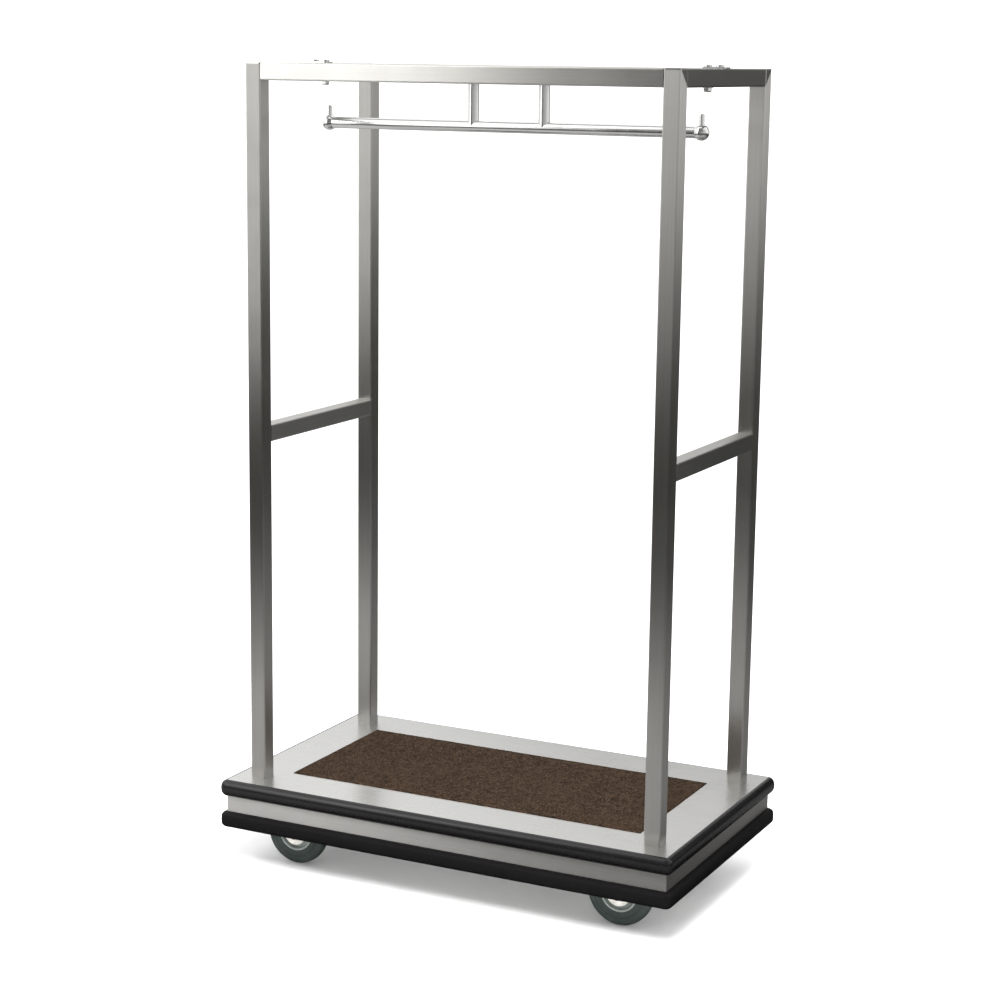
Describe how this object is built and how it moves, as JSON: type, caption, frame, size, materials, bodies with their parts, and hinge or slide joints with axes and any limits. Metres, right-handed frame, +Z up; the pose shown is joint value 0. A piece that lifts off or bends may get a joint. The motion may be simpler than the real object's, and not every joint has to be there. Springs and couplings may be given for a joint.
{
  "type": "hotel luggage cart",
  "caption": "Hotel luggage cart: square-tube frame with side rails and a hanging bar over a carpeted deck with bumper rings, on swivel casters.",
  "frame": {"origin": "on the floor under the middle of the cart", "axes": "+X right along the cart's length, +Y to its back, +Z up"},
  "size_m": [1.116, 0.646, 1.837],
  "materials": {
    "brushed_stainless": "brushed along the tube",
    "polished_stainless": "polished",
    "strap_steel": "satin",
    "bright_fasteners": "bright zinc",
    "deck_stainless": "fine satin",
    "fascia_stainless": "brushed lengthwise",
    "deck_plywood": "sealed plywood",
    "carpet": "low dense pile",
    "upper_rubber": "semi-gloss",
    "lower_rubber": "matte",
    "frame_steel": "black paint",
    "zinc_plate": "bright zinc plate",
    "wheel_core": "moulded",
    "wheel_rubber": "grey-green rubber"
  },
  "bodies": {
    "cart": {"post_front_left": "brushed_stainless", "post_front_right": "brushed_stainless", "post_back_left": "brushed_stainless", "post_back_right": "brushed_stainless", "post_caps": "brushed_stainless", "top_rail_front": "brushed_stainless", "top_rail_back": "brushed_stainless", "top_rail_left": "brushed_stainless", "top_rail_right": "brushed_stainless", "centre_rail": "brushed_stainless", "side_rail_left": "brushed_stainless", "side_rail_right": "brushed_stainless", "hanging_bar": "polished_stainless", "hanger_left": "polished_stainless", "hanger_right": "polished_stainless", "bar_balls": "polished_stainless", "stop_pins": "polished_stainless", "strap_plates": "strap_steel", "strap_washers": "strap_steel", "strap_screws": "bright_fasteners", "strap_bolts": "bright_fasteners", "cap_nuts": "bright_fasteners", "post_bolts": "bright_fasteners", "caster_bolts": "bright_fasteners", "bumper_screws": "bright_fasteners", "deck_sheet": "deck_stainless", "fascia_front": "fascia_stainless", "fascia_back": "fascia_stainless", "fascia_left": "fascia_stainless", "fascia_right": "fascia_stainless", "deck_board": "deck_plywood", "carpet": "carpet", "upper_bumper": "upper_rubber", "lower_bumper": "lower_rubber", "underframe_front": "frame_steel", "underframe_back": "frame_steel", "underframe_left": "frame_steel", "underframe_right": "frame_steel", "post_plugs": "frame_steel", "caster_plate_front_left": "zinc_plate", "caster_plate_front_right": "zinc_plate", "caster_plate_back_left": "zinc_plate", "caster_plate_back_right": "zinc_plate", "kingpins": "zinc_plate"},
    "swivel_front_left": {"fork_front_left": "zinc_plate", "axle_front_left": "bright_fasteners"},
    "wheel_front_left": {"wheel_core_front_left": "wheel_core", "tyre_front_left": "wheel_rubber"},
    "swivel_front_right": {"fork_front_right": "zinc_plate", "axle_front_right": "bright_fasteners"},
    "wheel_front_right": {"wheel_core_front_right": "wheel_core", "tyre_front_right": "wheel_rubber"},
    "swivel_back_left": {"fork_back_left": "zinc_plate", "axle_back_left": "bright_fasteners"},
    "wheel_back_left": {"wheel_core_back_left": "wheel_core", "tyre_back_left": "wheel_rubber"},
    "swivel_back_right": {"fork_back_right": "zinc_plate", "axle_back_right": "bright_fasteners"},
    "wheel_back_right": {"wheel_core_back_right": "wheel_core", "tyre_back_right": "wheel_rubber"}
  },
  "joints": [
    {"name": "swivel_front_left_turn", "type": "hinge", "parent": "cart", "child": "swivel_front_left", "pos_m": [-0.40866, -0.18366, 0.1605], "axis": [0, 0, 1], "continuous": true},
    {"name": "wheel_front_left_spin", "type": "hinge", "parent": "swivel_front_left", "child": "wheel_front_left", "pos_m": [-0.42866, -0.18366, 0.075], "axis": [0, 1, 0], "continuous": true},
    {"name": "swivel_front_right_turn", "type": "hinge", "parent": "cart", "child": "swivel_front_right", "pos_m": [0.40866, -0.18366, 0.1605], "axis": [0, 0, 1], "continuous": true},
    {"name": "wheel_front_right_spin", "type": "hinge", "parent": "swivel_front_right", "child": "wheel_front_right", "pos_m": [0.38866, -0.18366, 0.075], "axis": [0, 1, 0], "continuous": true},
    {"name": "swivel_back_left_turn", "type": "hinge", "parent": "cart", "child": "swivel_back_left", "pos_m": [-0.40866, 0.18366, 0.1605], "axis": [0, 0, 1], "continuous": true},
    {"name": "wheel_back_left_spin", "type": "hinge", "parent": "swivel_back_left", "child": "wheel_back_left", "pos_m": [-0.42866, 0.18366, 0.075], "axis": [0, 1, 0], "continuous": true},
    {"name": "swivel_back_right_turn", "type": "hinge", "parent": "cart", "child": "swivel_back_right", "pos_m": [0.40866, 0.18366, 0.1605], "axis": [0, 0, 1], "continuous": true},
    {"name": "wheel_back_right_spin", "type": "hinge", "parent": "swivel_back_right", "child": "wheel_back_right", "pos_m": [0.38866, 0.18366, 0.075], "axis": [0, 1, 0], "continuous": true}
  ]
}
